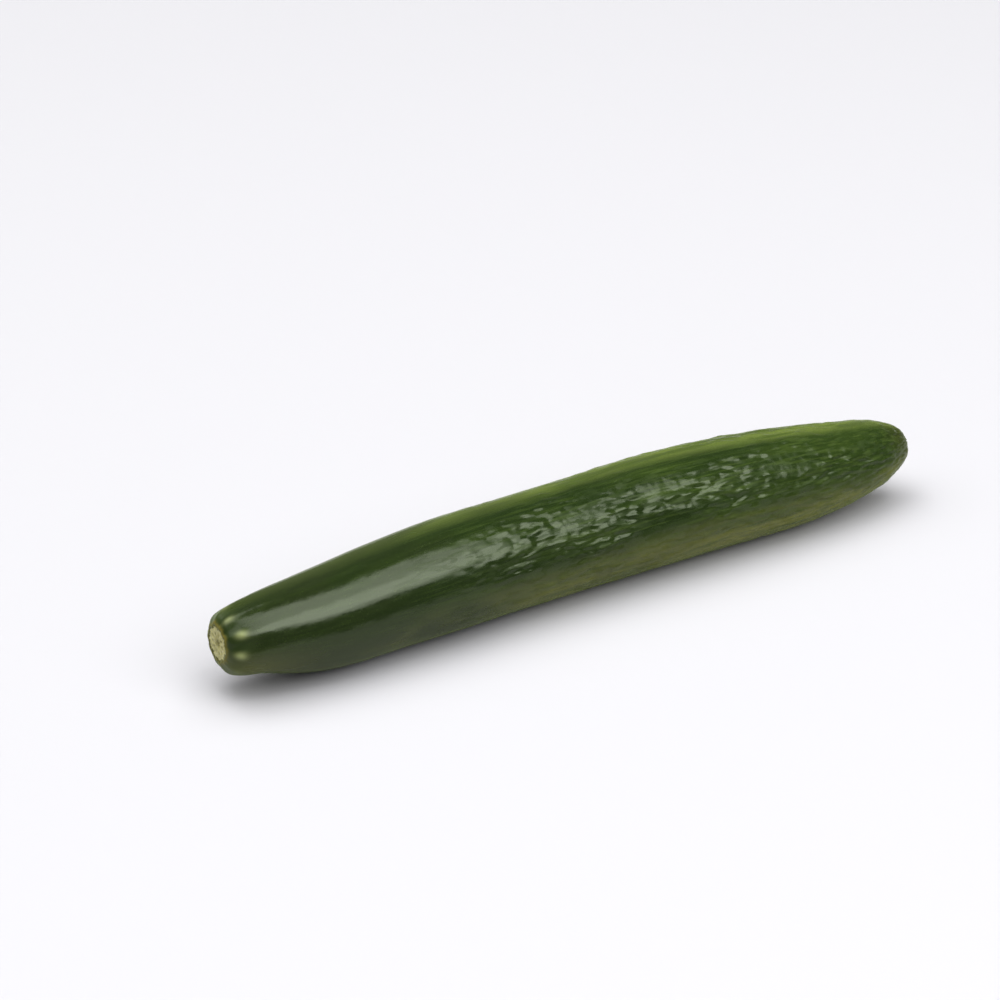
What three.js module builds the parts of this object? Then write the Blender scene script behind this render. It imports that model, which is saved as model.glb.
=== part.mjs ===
// A long greenhouse cucumber, as picked, lying on a flat surface.
//
// The fruit grew as one piece, so it is one closed body: a turned outline that is bent along
// a gently bowed centreline. Units are millimetres and +Z is up. +X points towards the blossom
// end, the fruit rests on z = 0, and the origin is under the middle of its box.

import * as THREE from "three";
import { mergeVertices } from "three/addons/utils/BufferGeometryUtils.js";

// ---------------------------------------------------------------- driving dimensions

const LENGTH = 321;            // along the fruit, from the stem scar to the blossom end
const GIRTH_RADIUS = 22.9;     // the thickest part of the fruit
const SCAR_RADIUS = 7.2;       // the flat face where the stem came away
const BOW = 6;                 // how far the middle stands off the line between the ends
const NECK_LENGTH = 46;        // the stretch of the stem end that turns up and aside
const NECK_SWING = 2;          // how far the stem scar is turned aside
const STEM_HEIGHT = 22.5;      // centre of the stem scar above the surface
const BLOSSOM_HEIGHT = 21.5;   // centre of the blossom end above the surface

const REST_DEPTH = 0.4;        // how much of the belly is pressed flat where it rests
const BELLY_START = [16, 62];  // the belly comes down to the surface between these distances
const BELLY_END = [240, 314];  // and leaves it again between these

const RIBS = 10;               // low ribs that run from the stem scar along the fruit
const NECK_RIB_HEIGHT = 0.5;   // height of a rib next to the stem scar
const BODY_RIB_HEIGHT = 0.08;  // height of a rib on the body
const THREE_SIDED = 0.35;      // how far the section leaves a circle, with a flat side down

const AROUND = 40;             // four faces to each rib
const STEPS_ALONG = 96;

// The outline: distance from the stem scar, and radius as a share of the thickest part.
const OUTLINE = [
  [1.6, 0.475],
  [6, 0.575],
  [16, 0.66],
  [28, 0.765],
  [42, 0.855],
  [60, 0.92],
  [90, 0.97],
  [150, 0.985],
  [205, 1],
  [240, 0.96],
  [269, 0.875],
  [290, 0.75],
  [304, 0.615],
  [313, 0.445],
  [318, 0.295],
  [320.3, 0.135],
];

// ---------------------------------------------------------------- shape along the fruit

const { lerp, smoothstep } = THREE.MathUtils;

// The turned outline, from the middle of the stem scar to the middle of the blossom end.
function turnedOutline() {
  const stations = [
    new THREE.Vector3(SCAR_RADIUS, 0, 0),
    ...OUTLINE.map(([distance, share]) => new THREE.Vector3(share * GIRTH_RADIUS, distance, 0)),
    new THREE.Vector3(0, LENGTH, 0),
  ];
  const curve = new THREE.CatmullRomCurve3(stations, false, "centripetal");
  const smooth = curve.getPoints(STEPS_ALONG).map((point) => new THREE.Vector2(point.x, point.y));
  return [new THREE.Vector2(0, 0), ...smooth];
}

const outline = turnedOutline();

// The outline's radius at a distance from the stem scar.
function radiusAt(distance) {
  const next = outline.findIndex((point, i) => i > 1 && point.y >= distance);
  const before = outline[next - 1];
  const after = outline[next];
  return lerp(before.x, after.x, (distance - before.y) / (after.y - before.y));
}

// The centreline bows sideways and keeps the belly on the surface, except at the two ends.
class Centreline extends THREE.Curve {
  getPoint(share, target = new THREE.Vector3()) {
    const distance = THREE.MathUtils.clamp(share, 0, 1) * LENGTH;
    const fromMiddle = 2 * share - 1;
    const intoNeck = Math.max(0, 1 - distance / NECK_LENGTH);
    const resting = smoothstep(distance, ...BELLY_START) * (1 - smoothstep(distance, ...BELLY_END));
    const endHeight = distance < LENGTH / 2 ? STEM_HEIGHT : BLOSSOM_HEIGHT;
    const restHeight = resting > 0 ? radiusAt(distance) - THREE_SIDED - REST_DEPTH : 0;
    return target.set(
      distance,
      BOW * (1 - fromMiddle * fromMiddle) + NECK_SWING * intoNeck * intoNeck,
      lerp(endHeight, restHeight, resting),
    );
  }
}

// What the ribs and the three flat sides add to the radius at one place on the skin.
function surfaceRelief(distance, radius, angle) {
  const onNeck = (1 - smoothstep(distance, 0, NECK_LENGTH)) ** 2;
  const onBody = 1 - smoothstep(distance, LENGTH / 2, LENGTH);
  const ribHeight = lerp(BODY_RIB_HEIGHT * onBody, NECK_RIB_HEIGHT, onNeck);
  const ribs = ribHeight * Math.cos(RIBS * angle);
  const sides = -THREE_SIDED * Math.sin(3 * angle);
  return (ribs + sides) * (radius / GIRTH_RADIUS);
}

// ---------------------------------------------------------------- the fruit

// Bends the turned outline along the centreline and presses its belly flat on z = 0.
function bendAlongCentreline(geometry) {
  const centreline = new Centreline();
  const up = new THREE.Vector3(0, 0, 1);
  const vertices = geometry.getAttribute("position");
  for (let i = 0; i < vertices.count; i += 1) {
    const distance = vertices.getY(i);
    const radius = Math.hypot(vertices.getX(i), vertices.getZ(i));
    const angle = Math.atan2(vertices.getX(i), vertices.getZ(i));
    const reach = radius + surfaceRelief(distance, radius, angle);
    const along = centreline.getTangent(distance / LENGTH);
    const aside = new THREE.Vector3().crossVectors(up, along).normalize();
    const above = new THREE.Vector3().crossVectors(along, aside);
    const place = centreline.getPoint(distance / LENGTH);
    place.addScaledVector(aside, reach * Math.cos(angle));
    place.addScaledVector(above, reach * Math.sin(angle));
    vertices.setXYZ(i, place.x, place.y, Math.max(place.z, 0));
  }
}

function cucumberGeometry() {
  const turned = new THREE.LatheGeometry(outline, AROUND);
  turned.deleteAttribute("normal");
  turned.deleteAttribute("uv");
  bendAlongCentreline(turned);
  const geometry = mergeVertices(turned);
  geometry.computeBoundingBox();
  const middle = geometry.boundingBox.getCenter(new THREE.Vector3());
  geometry.translate(-middle.x, -middle.y, 0);
  geometry.computeVertexNormals();
  return geometry;
}

const skinMaterial = new THREE.MeshStandardMaterial({
  color: new THREE.Color(0.035, 0.075, 0.012),
  roughness: 0.35,
  metalness: 0,
});

const cucumber = new THREE.Mesh(cucumberGeometry(), skinMaterial);
cucumber.name = "cucumber";

const group = new THREE.Group();
group.add(cucumber);

export default group;
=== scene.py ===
# %% [markdown]
# # A long greenhouse cucumber
# The fruit is one body that grew in one piece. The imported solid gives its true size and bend,
# but it is faceted and smooth. This lesson measures that solid, grows a fine skin over it, adds
# the relief and the scars that a real fruit has, and gives it a waxy finish.

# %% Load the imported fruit
import math

import bpy
import numpy as np
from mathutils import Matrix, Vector
from mathutils.bvhtree import BVHTree


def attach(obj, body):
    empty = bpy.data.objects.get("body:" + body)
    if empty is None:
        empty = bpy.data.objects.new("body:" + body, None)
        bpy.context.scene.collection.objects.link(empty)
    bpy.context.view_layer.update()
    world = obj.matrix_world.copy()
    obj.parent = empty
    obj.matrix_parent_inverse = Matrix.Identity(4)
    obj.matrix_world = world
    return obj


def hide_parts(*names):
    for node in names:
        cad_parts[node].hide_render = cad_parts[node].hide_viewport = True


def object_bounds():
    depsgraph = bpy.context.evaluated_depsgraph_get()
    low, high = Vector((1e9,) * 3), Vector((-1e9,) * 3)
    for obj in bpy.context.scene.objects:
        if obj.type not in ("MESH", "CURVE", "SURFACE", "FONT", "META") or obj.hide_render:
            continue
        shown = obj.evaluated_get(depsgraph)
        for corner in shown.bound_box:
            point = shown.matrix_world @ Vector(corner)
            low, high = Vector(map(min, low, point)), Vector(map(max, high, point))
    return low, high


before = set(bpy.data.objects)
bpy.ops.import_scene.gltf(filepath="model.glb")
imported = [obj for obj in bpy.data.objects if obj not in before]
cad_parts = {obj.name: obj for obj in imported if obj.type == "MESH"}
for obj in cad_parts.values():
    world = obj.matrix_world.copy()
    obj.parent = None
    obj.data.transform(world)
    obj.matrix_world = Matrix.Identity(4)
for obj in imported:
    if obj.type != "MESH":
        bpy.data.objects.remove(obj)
solid_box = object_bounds()
fruit_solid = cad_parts["cucumber"]
lowest, highest = solid_box
MM = 0.001
LENGTH = highest.x - lowest.x
print(f"the packed fruit is {LENGTH / MM:.0f} mm long and {(highest.z - lowest.z) / MM:.0f} mm high")

# %% [markdown]
# ## The centreline
# Everything on a cucumber follows its length: ribs, streaks and wrinkles. So the first thing to
# find is the line down its middle. Rays shot outwards from a guess hit the skin all round, and
# the middle of the hits is a better guess. A low polynomial through those middles gives a line
# with no kinks, which a chain of straight pieces would have.

# %% Find the line down the middle of the fruit
skin_tree = BVHTree.FromObject(fruit_solid, bpy.context.evaluated_depsgraph_get())
SECTIONS = 33
END_MARGIN = 6 * MM
BEND_ORDER = 6
MIDDLE_PASSES = 3
MIDDLE_RAYS = 24


def reach_to_skin(start, direction):
    hit = skin_tree.ray_cast(start, direction)
    return hit[3]


def section_middle(x):
    middle = Vector((x, 0, highest.z / 2))
    for _ in range(MIDDLE_PASSES):
        hits = []
        for angle in np.linspace(0, 2 * math.pi, MIDDLE_RAYS, endpoint=False):
            outward = Vector((0, math.cos(angle), math.sin(angle)))
            hits.append(middle + outward * reach_to_skin(middle, outward))
        middle = sum(hits, Vector()) / len(hits)
    return middle


section_x = np.linspace(lowest.x + END_MARGIN, highest.x - END_MARGIN, SECTIONS)
middles = np.array([section_middle(x) for x in section_x])
sideways = np.polynomial.Polynomial.fit(section_x, middles[:, 1], BEND_ORDER)
upwards = np.polynomial.Polynomial.fit(section_x, middles[:, 2], BEND_ORDER)


def centre_at(x):
    x = np.asarray(x, float)
    return np.stack([x, sideways(x), upwards(x)], axis=-1)


def frame_at(x):
    """The directions along, aside and above, square to each other, at places on the centreline."""
    x = np.asarray(x, float)
    along = np.stack([np.ones_like(x), sideways.deriv()(x), upwards.deriv()(x)], axis=-1)
    along /= np.linalg.norm(along, axis=-1, keepdims=True)
    aside = np.cross([0, 0, 1], along)
    aside /= np.linalg.norm(aside, axis=-1, keepdims=True)
    return along, aside, np.cross(along, aside)


bow = sideways(0) - sideways(section_x[0])
print(f"the middle stands {bow / MM:.1f} mm aside of the stem end")

# %% [markdown]
# ## A fine net over the fruit
# A sphere's net pinches badly on a long body, and a remesh would lose the direction of growth.
# The net used here is a stretched capsule: rings square to the centreline along the body, and a
# fan of rings that closes over each end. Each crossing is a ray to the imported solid, so the skin
# takes the solid's own size. Rings two thirds of a millimetre apart carry the skin's wrinkles.

# %% Cast the net of rays
AROUND = 192
BODY_RINGS = 424
STEM_RINGS = 38
TIP_RINGS = 42
STEM_FAN_X = lowest.x + 13 * MM
TIP_FAN_X = highest.x - 15 * MM

angles = np.linspace(0, 2 * math.pi, AROUND, endpoint=False)


def fan_tilts(rings):
    """Angles from the end's own axis, from just off the pole to just short of square."""
    return np.linspace(0, math.pi / 2, rings + 1, endpoint=False)[1:]


def net_rays():
    """Where each ring's rays start, and how far they tilt towards the end: 0 is square to the line."""
    stem_tilt = math.pi / 2 - fan_tilts(STEM_RINGS)
    tip_tilt = (math.pi / 2 - fan_tilts(TIP_RINGS))[::-1]
    body_x = np.linspace(STEM_FAN_X, TIP_FAN_X, BODY_RINGS)
    starts = np.concatenate([np.full(STEM_RINGS, STEM_FAN_X), body_x, np.full(TIP_RINGS, TIP_FAN_X)])
    tilts = np.concatenate([-stem_tilt, np.zeros(BODY_RINGS), tip_tilt])
    return starts, tilts


ring_x, ring_tilt = net_rays()
RINGS = len(ring_x)
ring_centre = centre_at(ring_x)
ring_along, ring_aside, ring_above = frame_at(ring_x)

spoke = (ring_aside[:, None] * np.cos(angles)[None, :, None]
         + ring_above[:, None] * np.sin(angles)[None, :, None])
tilt = ring_tilt[:, None, None]
outward = spoke * np.cos(tilt) + ring_along[:, None] * np.sin(tilt)
reach = np.empty((RINGS, AROUND))
for ring in range(RINGS):
    start = Vector(ring_centre[ring])
    for spot in range(AROUND):
        reach[ring, spot] = reach_to_skin(start, Vector(outward[ring, spot]))
print(f"{RINGS} rings of {AROUND} rays, reaching {reach.min() / MM:.1f} to {reach.max() / MM:.1f} mm")

# %% [markdown]
# ## From facets to a smooth body
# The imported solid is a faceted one, so the rays bring its facets along. Around each ring the
# reach is a sum of waves: the low ones are the shape, down to the ten ribs, and the high ones are
# facets. Leaving out the high waves smooths the ring without shrinking it. Along the fruit a few
# passes of averaging do the same. The directions of the net then give a true normal everywhere.

# %% Smooth the net and find its normals
SHAPE_WAVES = 11
SMOOTHING_PASSES = 12

waves = np.fft.rfft(reach, axis=1)
waves[:, SHAPE_WAVES:] = 0
reach = np.fft.irfft(waves, AROUND, axis=1)
for _ in range(SMOOTHING_PASSES):
    reach[1:-1] += (reach[:-2] - 2 * reach[1:-1] + reach[2:]) / 4


def net_places(reach_now):
    return ring_centre[:, None] + outward * reach_now[..., None]


def net_normals(places):
    along = np.gradient(places, axis=0)
    around = np.roll(places, -1, axis=1) - np.roll(places, 1, axis=1)
    normals = np.cross(around, along)
    return normals / np.linalg.norm(normals, axis=-1, keepdims=True)


body_places = net_places(reach)
body_normals = net_normals(body_places)
ring_steps = np.linalg.norm(np.diff(body_places, axis=0), axis=-1).mean(axis=1)
first_ring_radius = reach[0].mean() * math.sin(fan_tilts(STEM_RINGS)[0])
grown = np.concatenate([[0], np.cumsum(ring_steps)]) + first_ring_radius
girth = (reach * np.cos(ring_tilt)[:, None]).mean(axis=1)
print(f"rings are {ring_steps.mean() / MM:.2f} mm apart, normals point out: "
      f"{(body_normals * outward).sum(axis=-1).min() > 0}")

# %% [markdown]
# ## Noise that follows the growth
# Wrinkles in a long fruit aren't round: some run across it and some along it. Noise made in the
# net's own two directions can be given a length and a width in millimetres. It is made once with
# a fixed seed, so the fruit is the same fruit each time.

# %% Make noise with a length and a width
GROWTH_SEED = 20
growth = np.random.default_rng(GROWTH_SEED)
RING_STEP = ring_steps[STEM_RINGS:-TIP_RINGS].mean()
AROUND_STEP = 2 * math.pi * girth.max() / AROUND


def grown_noise(length, width):
    """Noise whose waves fade out below these sizes. Its mean is 0 and its spread is 1."""
    white = growth.standard_normal((RINGS, AROUND))
    along_waves = np.fft.fftfreq(RINGS, RING_STEP)[:, None] * length
    around_waves = np.fft.fftfreq(AROUND, AROUND_STEP)[None, :] * width
    keep = np.exp(-2 * (along_waves ** 2 + around_waves ** 2))
    noise = np.fft.ifft2(np.fft.fft2(white) * keep).real
    return (noise - noise.mean()) / noise.std()


def facing(turn):
    """How far each spoke of the net turns towards this angle: 1 is straight at it, 0 is away.

    Angles round the fruit start at +Y, behind it, and pass over the top.
    """
    return (1 + np.cos(angles - turn)[None, :]) / 2


def ease(values, start, end):
    """0 before start, 1 after end, and a smooth rise between."""
    share = np.clip((values - start) / (end - start), 0, 1)
    return share * share * (3 - 2 * share)


print(f"the net's cells are {RING_STEP / MM:.2f} by {AROUND_STEP / MM:.2f} mm")

# %% [markdown]
# ## The relief of the skin
# Four things shape a cucumber's surface. Ribs run from the stem scar and nearly die out on the body.
# Slow swellings come from uneven growth. Fine furrows follow the length, and a crinkle runs
# across it where the ripening fruit has begun to soften. One side has dried more than the rest,
# so it is the most furrowed, and even there the furrows come in patches. Each of the four is a
# height over the smooth body, and all of them are real shape, so the gloss breaks on them.

# %% Build up the relief
RIBS = 10
NECK_LENGTH = 34 * MM
CRINKLE_START = 92 * MM
CRINKLE_FULL = 160 * MM
RIB_HEIGHT_NECK = 0.22 * MM
RIB_HEIGHT_BODY = 0.04 * MM
RIB_WANDER = 0.05
RIB_WANDER_SIZE = (90 * MM, 60 * MM)
SWELLING_HEIGHT = 0.14 * MM
SWELLING_SIZE = (45 * MM, 60 * MM)
FURROW_HEIGHT = 0.23 * MM
FURROW_SIZE = (5 * MM, 1.7 * MM)
FURROW_PATCH_SIZE = (24 * MM, 14 * MM)
FURROW_PATCH_START = -1.6
FURROW_PATCH_FULL = 0.6
CRINKLE_HEIGHT = 0.028 * MM
CRINKLE_SIZE = (1.8 * MM, 3.2 * MM)
DRIEST_SIDE = math.radians(140)
DRYNESS_ELSEWHERE = 0.15
FURROWS_ON_SMOOTH_SKIN = 0.04
CRINKLE_ON_SMOOTH_SKIN = 0.18


def at_least(low, share):
    """A share from 0 to 1, lifted so that it starts at this low value."""
    return low + (1 - low) * share


from_stem = grown[:, None]
total_growth = grown[-1]
fullness = (girth / girth.max())[:, None]
on_neck = 1 - ease(from_stem, 0, NECK_LENGTH)
crinkled = ease(from_stem, CRINKLE_START, CRINKLE_FULL)

rib_wander = RIB_WANDER * grown_noise(*RIB_WANDER_SIZE)
rib_crest = ((1 + np.cos(RIBS * (angles[None, :] + rib_wander))) / 2) ** 2
rib_height = RIB_HEIGHT_BODY + (RIB_HEIGHT_NECK - RIB_HEIGHT_BODY) * on_neck
ribs = rib_height * (rib_crest - rib_crest.mean()) * fullness

swellings = SWELLING_HEIGHT * grown_noise(*SWELLING_SIZE) * fullness ** 2
dried = crinkled * at_least(DRYNESS_ELSEWHERE, facing(DRIEST_SIDE) ** 2)
furrowed = ease(grown_noise(*FURROW_PATCH_SIZE), FURROW_PATCH_START, FURROW_PATCH_FULL)
furrow_share = at_least(FURROWS_ON_SMOOTH_SKIN, dried * furrowed)
furrows = FURROW_HEIGHT * grown_noise(*FURROW_SIZE) * furrow_share
crinkle_share = at_least(CRINKLE_ON_SMOOTH_SKIN, dried)
crinkle = CRINKLE_HEIGHT * grown_noise(*CRINKLE_SIZE) * crinkle_share
skin_relief = ribs + swellings + (furrows + crinkle) * np.minimum(1, 2 * fullness)
print(f"the relief stands {skin_relief.min() / MM:.2f} to {skin_relief.max() / MM:.2f} mm off the body")

# %% [markdown]
# ## The stem scar
# Where the stem came away there is a flat pale face: a corky rim with a tooth at each rib, a ring
# of small bundles that carried the sap, and a pit in the middle. A short knob sits on each rib
# beside it, and its pale colour is a painted highlight. All of it is drawn by the distance from the
# end's own axis, because the scar is round, and the rim's teeth come from the angle.

# %% Shape the stem scar
STEM_SCAR_RADIUS = 7.0 * MM
STEM_SCAR_DEPTH = 0.25 * MM
STEM_GRAIN_HEIGHT = 0.10 * MM
SCAR_GRAIN_SIZE = (1.6 * MM, 3 * MM)
TOOTH_DEPTH = 0.035
TOOTH_UNEVENNESS = 0.8
TOOTH_SIZE = (3 * MM, 3 * MM)
RIM_INNER_FADE = 0.9 * MM
RIM_OUTER_FADE = 0.6 * MM
CORK_WIDTH = 0.85 * MM
CORK_HEIGHT = 0.30 * MM
BUNDLES = 10
BUNDLE_RING_RADIUS = 3.9 * MM
BUNDLE_WIDTH = 0.7 * MM
BUNDLE_DEPTH = 0.32 * MM
BUNDLE_TURN = 0.6
PIT_RADIUS = 1.7 * MM
PIT_DEPTH = 0.9 * MM
KNOB_DISTANCE = 12.5 * MM
KNOB_LENGTH = 2.2 * MM
KNOB_HEIGHT = 0.28 * MM
KNOB_STRENGTHS = (0.25, 1.0)
KNOB_DISTANCE_SHARES = (0.9, 1.25)


def bump(values, middle, width):
    return np.exp(-(((values - middle) / width) ** 2))


off_axis = np.repeat(girth[:, None], AROUND, axis=1)
at_stem = (np.arange(RINGS) < STEM_RINGS)[:, None]

tooth = np.cos(RIBS * (angles[None, :] + rib_wander)) + TOOTH_UNEVENNESS * grown_noise(*TOOTH_SIZE)
scar_edge = STEM_SCAR_RADIUS * (1 + TOOTH_DEPTH * tooth)
stem_scar = at_stem * (1 - ease(off_axis, scar_edge - RIM_INNER_FADE, scar_edge + RIM_OUTER_FADE))
cork_line = at_stem * bump(off_axis, scar_edge + RIM_OUTER_FADE, CORK_WIDTH)
bundle_ring = at_stem * bump(off_axis, BUNDLE_RING_RADIUS, BUNDLE_WIDTH)
bundle = bundle_ring * ((1 + np.cos(BUNDLES * angles + BUNDLE_TURN))[None, :] / 2) ** 2
pit = at_stem * bump(off_axis, 0, PIT_RADIUS)
scar_grain = grown_noise(*SCAR_GRAIN_SIZE)

rib_number = np.round(RIBS * angles / (2 * math.pi)).astype(int) % RIBS
knob_strength = growth.uniform(*KNOB_STRENGTHS, RIBS)[rib_number][None, :]
knob_place = KNOB_DISTANCE * growth.uniform(*KNOB_DISTANCE_SHARES, RIBS)[rib_number][None, :]
knob = knob_strength * bump(from_stem, knob_place, KNOB_LENGTH) * rib_crest ** 1.5
stem_relief = (stem_scar * (STEM_GRAIN_HEIGHT * scar_grain - STEM_SCAR_DEPTH)
               + CORK_HEIGHT * cork_line - BUNDLE_DEPTH * bundle
               - PIT_DEPTH * pit + KNOB_HEIGHT * knob)
print(f"the stem scar is {2 * STEM_SCAR_RADIUS / MM:.0f} mm across and its pit "
      f"{-stem_relief.min() / MM:.1f} mm deep")

# %% [markdown]
# ## The blossom scar
# At the other end the flower has left a small brown hollow, and the skin round it is drawn into
# folds like the mouth of a tied bag. The folds are a wave in the angle, so they all run to the
# middle. With this the relief is complete, and it is laid over the smooth body along its normals.
# Inside the scars the ribs and furrows fall quiet. The belly may not sink into the table.

# %% Shape the blossom scar and lay on the relief
BLOSSOM_SCAR_RADIUS = 2.6 * MM
BLOSSOM_FADE_START = 0.7 * BLOSSOM_SCAR_RADIUS
BLOSSOM_FADE_END = 1.2 * BLOSSOM_SCAR_RADIUS
BLOSSOM_SCAR_DEPTH = 0.15 * MM
BLOSSOM_GRAIN_HEIGHT = 0.12 * MM
PUCKER_FOLDS = 13
PUCKER_TURN = 0.8
PUCKER_RADIUS = 1.6 * BLOSSOM_SCAR_RADIUS
PUCKER_WIDTH = 1.6 * MM
PUCKER_DEPTH = 0.25 * MM
PUCKER_FOLD_HEIGHT = 0.10 * MM

at_tip = (np.arange(RINGS) >= RINGS - TIP_RINGS)[:, None]
blossom_scar = at_tip * (1 - ease(off_axis, BLOSSOM_FADE_START, BLOSSOM_FADE_END))
pucker = at_tip * bump(off_axis, PUCKER_RADIUS, PUCKER_WIDTH)
pucker_folds = np.cos(PUCKER_FOLDS * angles + PUCKER_TURN)[None, :]
blossom_relief = (blossom_scar * (BLOSSOM_GRAIN_HEIGHT * scar_grain - BLOSSOM_SCAR_DEPTH)
                  - PUCKER_DEPTH * pucker + PUCKER_FOLD_HEIGHT * pucker * pucker_folds)

quiet = 1 - np.clip(stem_scar + blossom_scar, 0, 1)
relief = skin_relief * quiet + stem_relief + blossom_relief
places = body_places + body_normals * relief[..., None]
places[..., 2] = np.maximum(places[..., 2], 0)
print(f"the whole relief runs from {relief.min() / MM:.1f} to {relief.max() / MM:.1f} mm")

# %% [markdown]
# ## The mesh
# The net becomes quads, with a small fan of triangles at each pole. The mesh also keeps what was
# worked out on the way, as attributes: where a point sits on the straight, unbent fruit, how much
# it is scar, cork or knob, how far it faces the belly, whose olive ground spot is painted lighter
# with bounce light from the table, and how far it faces the top, where a painted rim light goes.
# The materials read those, so colour and shape agree. A square UV map, with the length one way and
# the turn the other, lets the finish be baked without waste.

# %% Turn the net into a mesh
POLE_START = RINGS * AROUND
POLE_END = POLE_START + 1


def net_faces():
    ring = np.arange(RINGS - 1)[:, None] * AROUND
    spot = np.arange(AROUND)[None, :]
    after = (spot + 1) % AROUND
    quads = np.stack([ring + spot, ring + after, ring + AROUND + after, ring + AROUND + spot], axis=-1)
    last = (RINGS - 1) * AROUND
    faces = [(POLE_START, (k + 1) % AROUND, k) for k in range(AROUND)]
    faces += quads.reshape(-1, 4).tolist()
    faces += [(POLE_END, last + k, last + (k + 1) % AROUND) for k in range(AROUND)]
    return faces


def with_poles(values):
    """The values of the net with the two poles' own, each taken from the ring next to it."""
    flat = values.reshape(RINGS * AROUND, -1)
    ends = [ring.reshape(AROUND, -1).mean(axis=0) for ring in (values[0], values[-1])]
    return np.concatenate([flat, ends])


def store(mesh, name, values):
    flat = with_poles(np.broadcast_to(values, (RINGS, AROUND))).ravel().astype(np.float32)
    mesh.attributes.new(name, "FLOAT", "POINT").data.foreach_set("value", flat)


def store_place(mesh):
    """The place on the straight fruit: the length grown, and the two directions across it."""
    across = off_axis[..., None] * np.stack([np.cos(angles), np.sin(angles)], axis=-1)[None]
    along = np.broadcast_to(grown[:, None, None], (RINGS, AROUND, 1))
    flat = with_poles(np.concatenate([along, across], axis=-1)).ravel().astype(np.float32)
    mesh.attributes.new("place", "FLOAT_VECTOR", "POINT").data.foreach_set("vector", flat)


def corner_turns():
    """How far round each face corner lies. The last face of a ring ends at 1 instead of at 0."""
    spot = np.arange(AROUND)
    start_fan = np.stack([spot + 0.5, spot + 1, spot], axis=-1)
    one_ring = np.stack([spot, spot + 1, spot + 1, spot], axis=-1)
    end_fan = np.stack([spot + 0.5, spot, spot + 1], axis=-1)
    all_rings = np.tile(one_ring.ravel(), RINGS - 1)
    return np.concatenate([start_fan.ravel(), all_rings, end_fan.ravel()]) / AROUND


def store_bake_map(mesh):
    length_share = np.append(np.repeat(grown / total_growth, AROUND), [0, 1])
    corner_vertex = np.empty(len(mesh.loops), np.int32)
    mesh.loops.foreach_get("vertex_index", corner_vertex)
    uv = np.stack([length_share[corner_vertex], corner_turns()], axis=-1)
    mesh.uv_layers.new(name="OFBake").data.foreach_set("uv", uv.ravel().astype(np.float32))


# The lower front side: an olive ground spot, painted lighter with bounce light from the table.
BELLY_SPOT_AND_BOUNCE_SIDE = math.radians(-120)
# The side along the top, a little behind, that gets a painted rim light.
RIM_LIGHT_SIDE = math.radians(60)

mesh = bpy.data.meshes.new("cucumber_fruit")
mesh.from_pydata(with_poles(places).tolist(), [], net_faces())
store_place(mesh)
store(mesh, "ripeness", from_stem / total_growth)
store(mesh, "stem_scar", stem_scar)
store(mesh, "cork", cork_line)
store(mesh, "knob", knob)
store(mesh, "bundle", np.clip(bundle + pit, 0, 1))
store(mesh, "blossom_scar", blossom_scar)
# Where the belly's ground spot and its painted bounce light go.
store(mesh, "faces_belly_spot_and_bounce", facing(BELLY_SPOT_AND_BOUNCE_SIDE))
# Where the painted rim light goes, along the top.
store(mesh, "painted_rim_light", facing(RIM_LIGHT_SIDE))
store_bake_map(mesh)
mesh.shade_smooth()
cucumber_fruit = bpy.data.objects.new("cucumber_fruit", mesh)
bpy.context.scene.collection.objects.link(cucumber_fruit)
print(f"{len(mesh.polygons)} faces, {len(mesh.vertices)} vertices")

# %% [markdown]
# ## Tools for materials
# A material is a small graph. These helpers keep each step of it to one readable line: one makes
# a node and fills its inputs, and the next ones are for the kinds used again and again. A colour
# is written as it would be picked on a screen, and turned into the linear light values that
# shaders work in.

# %% Helpers for shader graphs
class Graph:
    """A node tree that is filled one node at a time."""

    def __init__(self, tree):
        self.tree = tree

    def add(self, kind, inputs=None, **settings):
        node = self.tree.nodes.new(kind)
        for name, value in settings.items():
            setattr(node, name, value)
        for name, value in (inputs or {}).items():
            self.feed(node.inputs[name], value)
        return node

    def feed(self, socket, value):
        if isinstance(value, bpy.types.NodeSocket):
            self.tree.links.new(value, socket)
        else:
            socket.default_value = value

    def maths(self, operation, first, second):
        return self.add("ShaderNodeMath", {0: first, 1: second}, operation=operation).outputs[0]

    def stored(self, name, output="Fac"):
        return self.add("ShaderNodeAttribute", attribute_name=name).outputs[output]

    def remap(self, value, start, end, low=0.0, high=1.0):
        inputs = {"Value": value, "From Min": start, "From Max": end, "To Min": low, "To Max": high}
        return self.add("ShaderNodeMapRange", inputs, interpolation_type="SMOOTHSTEP").outputs[0]

    def mix(self, share, first, second):
        node = self.add("ShaderNodeMix", data_type="RGBA", clamp_factor=True)
        self.feed(node.inputs[0], share)
        self.feed(node.inputs[6], first)
        self.feed(node.inputs[7], second)
        return node.outputs[2]

    def stretched(self, place, length, width):
        """Coordinates in which a patch of this length and width is one unit across."""
        sizes = (1 / length, 1 / width, 1 / width)
        node = self.add("ShaderNodeVectorMath", {0: place, 1: sizes}, operation="MULTIPLY")
        return node.outputs[0]

    def noise(self, coordinates, detail=2.0, roughness=0.5, distortion=0.0):
        inputs = {"Vector": coordinates, "Scale": 1.0, "Detail": detail, "Roughness": roughness,
                  "Distortion": distortion}
        return self.add("ShaderNodeTexNoise", inputs).outputs["Fac"]


def screen_colour(red, green, blue):
    """A colour from 0 to 255 a channel, as a screen shows it, in linear light."""
    shares = [channel / 255 for channel in (red, green, blue)]
    linear = [((c + 0.055) / 1.055) ** 2.4 if c > 0.04 else c / 12.92 for c in shares]
    return (*linear, 1.0)


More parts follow.
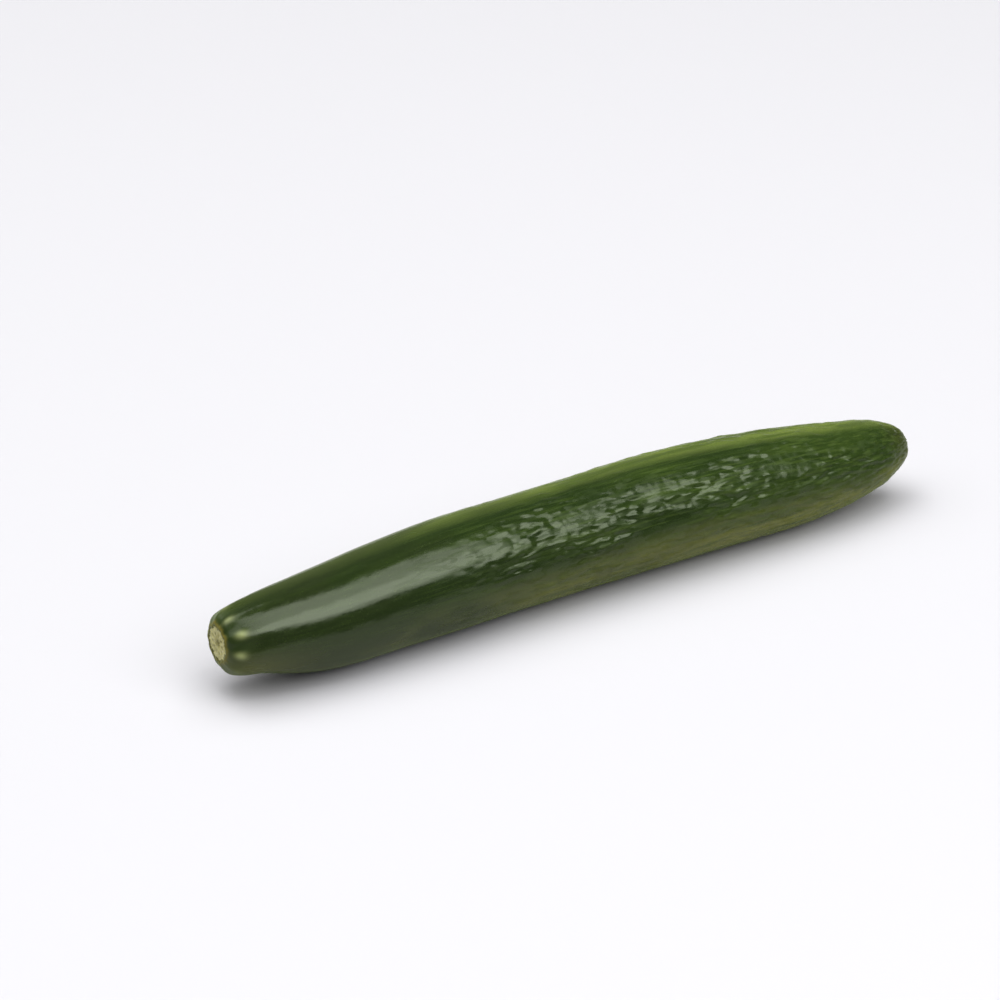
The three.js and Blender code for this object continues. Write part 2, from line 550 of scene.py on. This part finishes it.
def new_group(name, inputs, outputs):
    """An empty node group with named sockets, and the graph and input sockets to fill it with."""
    tree = bpy.data.node_groups.new(name, "ShaderNodeTree")
    for socket_name, kind, value in inputs:
        socket = tree.interface.new_socket(name=socket_name, in_out="INPUT", socket_type=kind)
        socket.default_value = value
    for socket_name, kind in outputs:
        tree.interface.new_socket(name=socket_name, in_out="OUTPUT", socket_type=kind)
    graph = Graph(tree)
    return tree, graph, graph.add("NodeGroupInput").outputs, graph.add("NodeGroupOutput").inputs


print("the helpers are ready")

# %% [markdown]
# ## Streaks that run with the growth
# Pale lines run along a cucumber's skin, and the dried tissue of its scars has a fibre too. Both
# are noise drawn out along the fruit. That is one effect with two uses, so it is a node group:
# each material gives it a length, a width and how much of the skin the streaks cover.

# %% Make the streaks group
FLOAT = "NodeSocketFloat"
VECTOR = "NodeSocketVector"


def streaks_group():
    tree, graph, given, result = new_group(
        "growth_streaks",
        [("Place", VECTOR, (0, 0, 0)), ("Length", FLOAT, 30 * MM), ("Width", FLOAT, 1 * MM),
         ("Cover", FLOAT, 0.4), ("Softness", FLOAT, 0.1)],
        [("Streaks", FLOAT)])
    along = graph.maths("DIVIDE", 1.0, given["Length"])
    across = graph.maths("DIVIDE", 1.0, given["Width"])
    sizes = graph.add("ShaderNodeCombineXYZ", {"X": along, "Y": across, "Z": across}).outputs[0]
    drawn_out = graph.add("ShaderNodeVectorMath", {0: given["Place"], 1: sizes}, operation="MULTIPLY")
    pattern = graph.noise(drawn_out.outputs[0], detail=3.0, roughness=0.55, distortion=0.3)
    threshold = graph.maths("SUBTRACT", 0.72, graph.maths("MULTIPLY", given["Cover"], 0.4))
    start = graph.maths("SUBTRACT", threshold, given["Softness"])
    end = graph.maths("ADD", threshold, given["Softness"])
    graph.feed(result["Streaks"], graph.remap(pattern, start, end))
    return tree


def use_streaks(graph, place, length, width, cover, softness=0.1):
    inputs = {"Place": place, "Length": length, "Width": width, "Cover": cover, "Softness": softness}
    return graph.add("ShaderNodeGroup", inputs, node_tree=growth_streaks).outputs["Streaks"]


growth_streaks = streaks_group()
print("group:", growth_streaks.name)

# %% [markdown]
# ## Pores and fine grain
# Close up, the skin isn't glass: it has shallow pores and a fine orange-peel grain, and the scars
# are rougher still. These are far too small for the mesh, so they are a height for bump, shared
# by both materials as a second group with its own grain size.

# %% Make the fine grain group
def grain_group():
    tree, graph, given, result = new_group(
        "fine_grain",
        [("Place", VECTOR, (0, 0, 0)), ("Grain", FLOAT, 0.8 * MM), ("Pores", FLOAT, 0.5)],
        [("Height", FLOAT), ("Specks", FLOAT)])
    finer = graph.maths("DIVIDE", 1.0, given["Grain"])
    scaled = graph.add("ShaderNodeVectorMath", {0: given["Place"], "Scale": finer}, operation="SCALE")
    peel = graph.noise(scaled.outputs[0], detail=2.0)
    cell_inputs = {"Vector": scaled.outputs[0], "Scale": 0.5, "Randomness": 1.0}
    cells = graph.add("ShaderNodeTexVoronoi", cell_inputs)
    pore = graph.remap(cells.outputs["Distance"], 0.0, 0.35, 1.0, 0.0)
    pitted = graph.maths("MULTIPLY", pore, given["Pores"])
    graph.feed(result["Height"], graph.maths("SUBTRACT", peel, pitted))
    graph.feed(result["Specks"], pore)
    return tree


def use_grain(graph, place, grain, pores):
    inputs = {"Place": place, "Grain": grain, "Pores": pores}
    return graph.add("ShaderNodeGroup", inputs, node_tree=fine_grain).outputs


fine_grain = grain_group()
print("group:", fine_grain.name)

# %% [markdown]
# ## The greens of the skin
# The colour of the skin changes slowly, from nearly black green at the stem to a yellower green at
# the flower end. Paler lines run along it. The belly that lay away from the light is olive, and it is
# painted lighter still with bounce light from the table. Along the top, on the far side, a light
# green is a painted rim light. Each change is a mix of two colours by a mask that varies over the
# skin, and slow noise shifts the masks, so no change follows a straight edge.

# %% Mix the skin's colours
STEM_GREEN = screen_colour(30, 42, 12)
BODY_GREEN = screen_colour(27, 44, 8)
FLOWER_END_GREEN = screen_colour(38, 57, 12)
STREAK_GREEN = screen_colour(68, 86, 32)
BROAD_STREAK_GREEN = screen_colour(48, 66, 18)
# The belly: an olive ground spot, lightened with painted bounce light from the table.
BELLY_SPOT_AND_BOUNCE_GREEN = screen_colour(136, 138, 66)
# A painted rim light: lighter green along the top.
PAINTED_RIM_LIGHT_GREEN = screen_colour(108, 124, 54)
TIP_OLIVE = screen_colour(74, 72, 28)
KNOB_PAINTED_HIGHLIGHT = screen_colour(176, 184, 124)
CORK_BROWN = screen_colour(122, 112, 42)
SPECK_GREEN = screen_colour(104, 126, 60)


def ripening(graph, ripe_here):
    """From the stem's dark green, over the body's, to the flower end's."""
    colour = graph.mix(graph.remap(ripe_here, 0.05, 0.45), STEM_GREEN, BODY_GREEN)
    return graph.mix(graph.remap(ripe_here, 0.45, 0.95), colour, FLOWER_END_GREEN)


def pale_sides(graph, colour, ripe_here):
    """The olive belly, painted lighter with bounce light, and a painted rim light along the top, both
    stronger towards the flower end.
    """
    ripeness = graph.stored("ripeness")
    # The belly: its olive ground spot, painted lighter with the table's bounce light, strongest towards
    # the flower end and again by the stem.
    spot_and_bounce_strength = graph.maths("ADD", graph.remap(ripe_here, 0.20, 0.70, 0.05, 0.90),
                           graph.remap(ripeness, 0.03, 0.16, 0.40, 0.0))
    belly_spot_and_bounce = graph.maths("MULTIPLY", graph.remap(graph.stored("faces_belly_spot_and_bounce"), 0.62, 1.0), spot_and_bounce_strength)
    colour = graph.mix(belly_spot_and_bounce, colour, BELLY_SPOT_AND_BOUNCE_GREEN)
    # A painted rim light: lighter green along the top, on the far side, widening towards the flower
    # end.
    widening = graph.remap(ripeness, 0.5, 1.0, 0.0, 0.08)
    towards_painted_rim_light = graph.maths("ADD", graph.stored("painted_rim_light"), widening)
    painted_rim_light = graph.maths("MULTIPLY", graph.remap(towards_painted_rim_light, 0.88, 1.0),
                        graph.remap(ripe_here, 0.10, 0.60, 0.2, 0.9))
    return graph.mix(painted_rim_light, colour, PAINTED_RIM_LIGHT_GREEN)


def pale_lines(graph, place, colour, ripe_here):
    """Broad faint bands, and finer and paler lines over them."""
    broad = use_streaks(graph, place, 55 * MM, 4.5 * MM, 0.45)
    broad = graph.maths("MULTIPLY", broad, graph.remap(ripe_here, 0.1, 0.7, 0.12, 0.6))
    colour = graph.mix(broad, colour, BROAD_STREAK_GREEN)
    fine = use_streaks(graph, place, 24 * MM, 1.1 * MM, 0.42, 0.06)
    fine = graph.maths("MULTIPLY", fine, graph.remap(ripe_here, 0.2, 0.8, 0.08, 0.5))
    return graph.mix(fine, colour, STREAK_GREEN)


def colour_near_the_ends(graph, colour):
    """Olive by the flower, softer green by the stem with a painted highlight on each knob, and brown on
    the scars.
    """
    ripeness = graph.stored("ripeness")
    near_flower = graph.remap(ripeness, 0.93, 0.99, 0.0, 0.5)
    colour = graph.mix(near_flower, colour, TIP_OLIVE)
    near_stem = graph.remap(ripeness, 0.020, 0.060, 0.45, 0.0)
    colour = graph.mix(near_stem, colour, FLOWER_END_GREEN)
    # A painted highlight: pale colour on each knob by the stem.
    colour = graph.mix(graph.maths("MULTIPLY", graph.stored("knob"), 0.85), colour, KNOB_PAINTED_HIGHLIGHT)
    colour = graph.mix(graph.stored("cork"), colour, CORK_BROWN)
    return graph.mix(graph.stored("blossom_scar"), colour, CORK_BROWN)


def skin_colour(graph, place, specks):
    patches = graph.noise(graph.stretched(place, 35 * MM, 12 * MM), detail=3.0)
    shift = graph.remap(patches, 0.3, 0.7, -0.12, 0.12)
    ripe_here = graph.maths("ADD", graph.stored("ripeness"), shift)
    colour = pale_sides(graph, ripening(graph, ripe_here), ripe_here)
    colour = pale_lines(graph, place, colour, ripe_here)
    colour = graph.mix(graph.maths("MULTIPLY", specks, 0.05), colour, SPECK_GREEN)
    return colour_near_the_ends(graph, colour)


print("the skin mixes eleven colours")

# %% [markdown]
# ## The waxy finish
# The wax is a thin clear coat over the green. It is fullest on the stem half. Towards the flower
# end it thins, and there it is rubbed away in short streaks. Next to the stem scar and on the
# blossom scar the skin is dry. The coat's own roughness is one number for the whole fruit, while
# the roughness under it and the amount of wax change over the surface. A faint sheen lightens the
# skin where it turns away, as the fine bloom on a fresh fruit does.

# %% Make the skin material
def new_material(name):
    material = bpy.data.materials.new(name)
    material.use_nodes = True
    material.node_tree.nodes.clear()
    return material, Graph(material.node_tree)


def finish_material(graph, inputs):
    """The surface shader and the output. Uniform numbers go straight on the shader's sockets."""
    shader = graph.add("ShaderNodeBsdfPrincipled", inputs)
    graph.add("ShaderNodeOutputMaterial", {"Surface": shader.outputs[0]})


def dryness(graph):
    """Where the skin has no wax of its own: the two scars, and less so the skin by the stem."""
    scars = graph.maths("MAXIMUM", graph.stored("cork"), graph.stored("blossom_scar"))
    near_stem = graph.remap(graph.stored("ripeness"), 0.025, 0.090, 0.6, 0.0)
    return graph.maths("MAXIMUM", scars, near_stem)


def wax_and_roughness(graph, place):
    dry = dryness(graph)
    thinning = graph.remap(graph.stored("ripeness"), 0.14, 0.56)
    patches = graph.noise(graph.stretched(place, 10 * MM, 2.2 * MM), detail=3.0)
    rub_marks = use_streaks(graph, place, 7 * MM, 1.8 * MM, 0.45, 0.05)
    rubbed = graph.maths("MULTIPLY", thinning, rub_marks)

    roughness = graph.remap(patches, 0.3, 0.7, 0.11, 0.23)
    for mask, rougher in ((thinning, 0.06), (rubbed, 0.25), (dry, 0.35)):
        roughness = graph.maths("ADD", roughness, graph.maths("MULTIPLY", mask, rougher))
    covered = graph.maths("SUBTRACT", 1.0, graph.maths("MAXIMUM", dry, rubbed))
    wax = graph.maths("MULTIPLY", graph.remap(thinning, 0.0, 1.0, 0.6, 0.42), covered)
    return wax, roughness


def waxy_skin_material():
    material, graph = new_material("waxy_skin")
    place = graph.stored("place", "Vector")
    grain = use_grain(graph, place, 0.9 * MM, 0.5)
    wax, roughness = wax_and_roughness(graph, place)
    pores = {"Strength": 0.35, "Distance": 0.06 * MM, "Height": grain["Height"]}
    finish_material(graph, {
        "Base Color": skin_colour(graph, place, grain["Specks"]), "Roughness": roughness,
        "Coat Weight": wax, "Normal": graph.add("ShaderNodeBump", pores).outputs[0],
        "Coat Roughness": 0.14, "Coat IOR": 1.50, "IOR": 1.54,
        "Specular Tint": screen_colour(218, 236, 190), "Sheen Weight": 0.4,
        "Sheen Roughness": 0.35, "Sheen Tint": screen_colour(190, 220, 120)})
    return material


waxy_skin = waxy_skin_material()
print("material:", waxy_skin.name)

# %% [markdown]
# ## The dry scar
# The face where the stem came away is bare, dried flesh. It is pale straw green, has no wax and
# hardly any gloss, and the ends of the sap bundles are darker dots. Its colour comes from the
# same masks that shaped it, so every dot sits in its own pit.

# %% Make the scar material
SCAR_STRAW = screen_colour(214, 208, 140)
SCAR_CREAM = screen_colour(224, 220, 172)
BUNDLE_BROWN = screen_colour(120, 112, 52)


def dry_scar_material():
    material, graph = new_material("dry_scar")
    place = graph.stored("place", "Vector")
    grain = use_grain(graph, place, 0.5 * MM, 0.8)
    fibres = use_streaks(graph, place, 2 * MM, 0.8 * MM, 0.5, 0.15)
    colour = graph.mix(fibres, SCAR_STRAW, SCAR_CREAM)
    colour = graph.mix(graph.maths("MULTIPLY", graph.stored("bundle"), 0.7), colour, BUNDLE_BROWN)
    colour = graph.mix(graph.stored("cork"), colour, CORK_BROWN)
    fibre_grain = {"Strength": 0.6, "Distance": 0.12 * MM, "Height": grain["Height"]}
    roughness = graph.remap(grain["Height"], 0.2, 0.7, 0.72, 0.88)
    finish_material(graph, {
        "Base Color": colour, "Roughness": roughness, "IOR": 1.4,
        "Normal": graph.add("ShaderNodeBump", fibre_grain).outputs[0]})
    return material


dry_scar = dry_scar_material()
print("material:", dry_scar.name)

# %% [markdown]
# ## Dress the fruit
# Each face takes one of the two materials. A face is scar if the scar's mask covers its ring spot;
# everything else is skin. Then the fruit is told what it stands for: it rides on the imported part's
# only body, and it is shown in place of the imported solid.

# %% Give the faces their materials and join the fruit to the frame
SCAR_SHARE = 0.5
mesh.materials.append(waxy_skin)
mesh.materials.append(dry_scar)
scar_vertex = with_poles(stem_scar).ravel() > SCAR_SHARE
face_scar = [int(all(scar_vertex[v] for v in face.vertices)) for face in mesh.polygons]
mesh.polygons.foreach_set("material_index", face_scar)
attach(cucumber_fruit, "root")
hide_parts("cucumber")
print(f"{sum(face_scar)} faces are scar, the rest are skin")

# %% [markdown]
# ## A pale table
# The fruit lies on a plain pale table. The table is nearly white when it is looked at, but grey to
# everything else, because a glossy fruit on a white table mirrors it all along its lower skin.
# The material asks what kind of ray has reached it, so this is the same from every side.

# %% Set the table
TABLE_SIZE = 6.0
TABLE_LOOKED_AT = (0.66, 0.655, 0.68, 1)
TABLE_TO_THE_FRUIT = (0.30, 0.30, 0.30, 1)


def table_top():
    half = TABLE_SIZE / 2
    corners = [(-half, -half, 0), (half, -half, 0), (half, half, 0), (-half, half, 0)]
    plane = bpy.data.meshes.new("table_top")
    plane.from_pydata(corners, [], [(0, 1, 2, 3)])
    table = bpy.data.objects.new("table_top", plane)
    bpy.context.scene.collection.objects.link(table)
    material, graph = new_material("pale_table")
    looked_at = graph.add("ShaderNodeLightPath").outputs["Is Camera Ray"]
    colour = graph.mix(looked_at, TABLE_TO_THE_FRUIT, TABLE_LOOKED_AT)
    finish_material(graph, {"Base Color": colour, "Roughness": 0.6})
    plane.materials.append(material)


table_top()
print(f"the table is {TABLE_SIZE:.0f} m wide")

# %% [markdown]
# ## Soft light
# A dark glossy fruit shows its light more than its colour. One large soft box stands to the front
# right and draws a broad band along the fruit, and a smaller one in front of it makes the band's
# middle brighter. A high box behind the fruit, on the left, lights its far side. The overhead box
# keeps the table white and the shadow short. It is left out of the gloss, where it would draw a
# second band. A dim surround fills the shadows without washing out the green. Lamps are hidden
# from the camera, so they never show as white squares from another side.

# %% Set the lights
middle = Vector((0, 0, highest.z / 2))


def soft_box(name, azimuth, elevation, distance, size, power, in_gloss=True):
    """A rectangular lamp facing the fruit. Azimuth 0 is in front, on the -Y side, and 90 is at +X."""
    turn = math.radians(azimuth)
    rise = math.radians(elevation)
    level = math.cos(rise)
    towards = Vector((math.sin(turn) * level, -math.cos(turn) * level, math.sin(rise)))
    light = bpy.data.lights.new(name, "AREA")
    light.shape = "RECTANGLE"
    light.size, light.size_y = size
    light.energy = power
    lamp = bpy.data.objects.new(name, light)
    lamp.location = middle + towards * distance
    lamp.rotation_mode = "QUATERNION"
    lamp.rotation_quaternion = towards.to_track_quat("Z", "Y")
    lamp.visible_camera = False
    lamp.visible_glossy = in_gloss
    bpy.context.scene.collection.objects.link(lamp)


def surround(seen, felt):
    """A plain surround: one grey for what is seen behind the table, another for its light."""
    world = bpy.data.worlds.new("surround")
    world.use_nodes = True
    world.node_tree.nodes.clear()
    graph = Graph(world.node_tree)
    looked_at = graph.add("ShaderNodeLightPath").outputs["Is Camera Ray"]
    light = graph.mix(looked_at, (felt, felt, felt, 1), (seen, seen, seen, 1))
    background = graph.add("ShaderNodeBackground", {"Color": light})
    graph.add("ShaderNodeOutputWorld", {"Surface": background.outputs[0]})
    bpy.context.scene.world = world


soft_box("front_box", azimuth=16, elevation=50, distance=2.4, size=(2.1, 2.3), power=29)
soft_box("front_core", azimuth=20, elevation=44, distance=2.3, size=(1.5, 1.0), power=6)
soft_box("high_box", azimuth=-120, elevation=58, distance=3.0, size=(3.2, 3.2), power=48)
soft_box("overhead_box", azimuth=150, elevation=82, distance=3.0, size=(3.4, 3.4), power=88,
         in_gloss=False)
surround(seen=1.0, felt=0.12)
bpy.context.scene.view_settings.view_transform = "Standard"

# %% [markdown]
# ## The camera
# A long lens from a metre and a half away keeps the fruit's two ends nearly the same size, as in a
# catalogue picture. The camera stands left of the middle and looks down at 30 degrees, so the stem
# end is the nearer one.

# %% Place the camera
CAMERA_AZIMUTH = math.radians(-31.1)
CAMERA_ELEVATION = math.radians(29.3)
CAMERA_DISTANCE = 1.541
LENS_MM = 139.2
AIM_LEFT = 0.0283
AIM_UP = 0.0133

back = Vector((math.sin(CAMERA_AZIMUTH) * math.cos(CAMERA_ELEVATION),
               -math.cos(CAMERA_AZIMUTH) * math.cos(CAMERA_ELEVATION),
               math.sin(CAMERA_ELEVATION)))
right = Vector((math.cos(CAMERA_AZIMUTH), math.sin(CAMERA_AZIMUTH), 0))
upright = back.cross(right)
aim = middle - right * AIM_LEFT + upright * AIM_UP
camera = bpy.data.objects.new("camera", bpy.data.cameras.new("camera"))
camera.data.lens = LENS_MM
camera.location = aim + back * CAMERA_DISTANCE
camera.rotation_mode = "QUATERNION"
camera.rotation_quaternion = back.to_track_quat("Z", "Y")
bpy.context.scene.collection.objects.link(camera)
bpy.context.scene.camera = camera
print("the camera is at", [round(c, 3) for c in camera.location])
